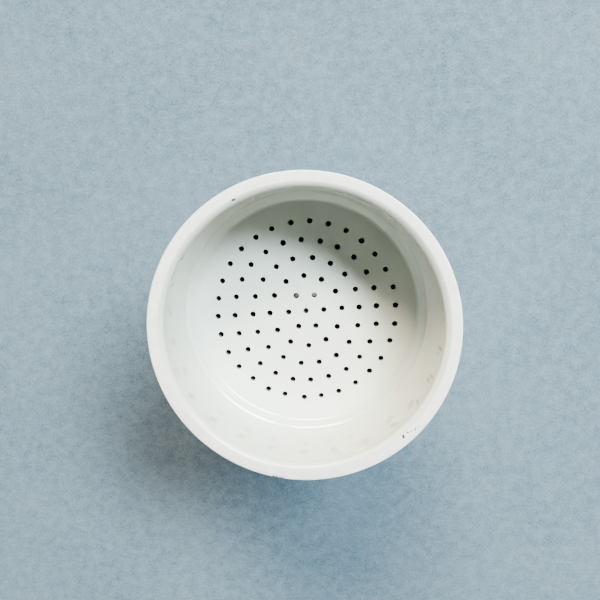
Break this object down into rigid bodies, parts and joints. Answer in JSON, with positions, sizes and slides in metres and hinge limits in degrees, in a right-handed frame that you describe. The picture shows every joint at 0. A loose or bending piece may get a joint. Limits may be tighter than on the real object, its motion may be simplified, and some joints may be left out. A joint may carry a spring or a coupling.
{
  "type": "buchner funnel",
  "caption": "Laboratory vacuum filter funnel: a straight-sided glazed porcelain cup over a flat perforated plate, with a hollow cone and a slant-tipped outlet stem below.",
  "frame": {"origin": "on the funnel's axis, level with the lowest point of the stem's slanted tip", "axes": "+Z along the funnel's axis, from the stem's tip out of the mouth; +X along a row of holes; the stem's slanted cut is lowest at -X"},
  "size_m": [0.1094, 0.1094, 0.15],
  "materials": {
    "glazed_porcelain": "gloss",
    "glazed_slip": "gloss",
    "fired_slip": "matt"
  },
  "bodies": {
    "root": {"cup": "glazed_porcelain", "perforated_plate": "glazed_porcelain", "plate_seam": "glazed_slip", "cone": "glazed_porcelain", "shoulder_seam": "fired_slip", "stem": "glazed_porcelain", "stem_collar": "glazed_slip"}
  },
  "joints": []
}
